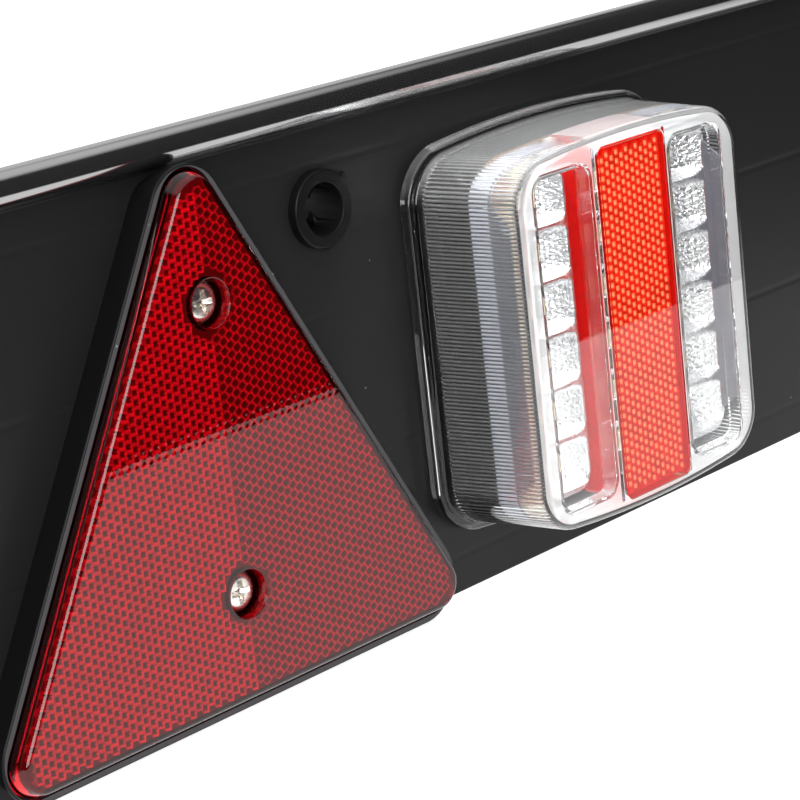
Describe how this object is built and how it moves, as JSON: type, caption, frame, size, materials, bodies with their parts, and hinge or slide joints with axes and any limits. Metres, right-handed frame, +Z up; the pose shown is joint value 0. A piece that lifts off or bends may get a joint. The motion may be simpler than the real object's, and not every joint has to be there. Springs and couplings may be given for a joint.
{
  "type": "trailer lighting board",
  "caption": "Long black trailer lighting board with a red triangle reflector, a bushed fixing hole and a clear combination lamp at each end.",
  "frame": {"origin": "midway between the two fixing holes, on the plank's front face", "axes": "+X along the plank, to the right seen from behind the trailer; +Y from the lights to the back; +Z up"},
  "size_m": [1.22, 0.0555, 0.14],
  "materials": {
    "black_plank": "satin",
    "black_moulding": "satin",
    "red_reflex": "gloss",
    "orange_red_reflex": "gloss",
    "clear_plastic": "gloss",
    "silvered_plastic": "mirror",
    "circuit_laminate": "satin",
    "led_package": "satin",
    "bright_steel": "bright",
    "black_rubber": "matt"
  },
  "bodies": {
    "root": {"board": "black_plank", "left_triangle_frame": "black_moulding", "left_triangle_lens": "red_reflex", "left_triangle_screws": "bright_steel", "left_fixing_bush": "black_moulding", "left_lamp_gasket": "black_rubber", "left_lamp_base": "black_moulding", "left_lamp_circuit_board": "circuit_laminate", "left_lamp_leds": "led_package", "left_lamp_reflector_tray": "silvered_plastic", "left_lamp_cover": "clear_plastic", "left_lamp_reflex_insert": "orange_red_reflex", "left_lamp_bolts": "bright_steel", "left_lamp_washers": "bright_steel", "left_lamp_nuts": "bright_steel", "left_cable_grommet": "black_rubber", "right_triangle_frame": "black_moulding", "right_triangle_lens": "red_reflex", "right_triangle_screws": "bright_steel", "right_fixing_bush": "black_moulding", "right_lamp_gasket": "black_rubber", "right_lamp_base": "black_moulding", "right_lamp_circuit_board": "circuit_laminate", "right_lamp_leds": "led_package", "right_lamp_reflector_tray": "silvered_plastic", "right_lamp_cover": "clear_plastic", "right_lamp_reflex_insert": "orange_red_reflex", "right_lamp_bolts": "bright_steel", "right_lamp_washers": "bright_steel", "right_lamp_nuts": "bright_steel", "right_cable_grommet": "black_rubber"}
  },
  "joints": []
}
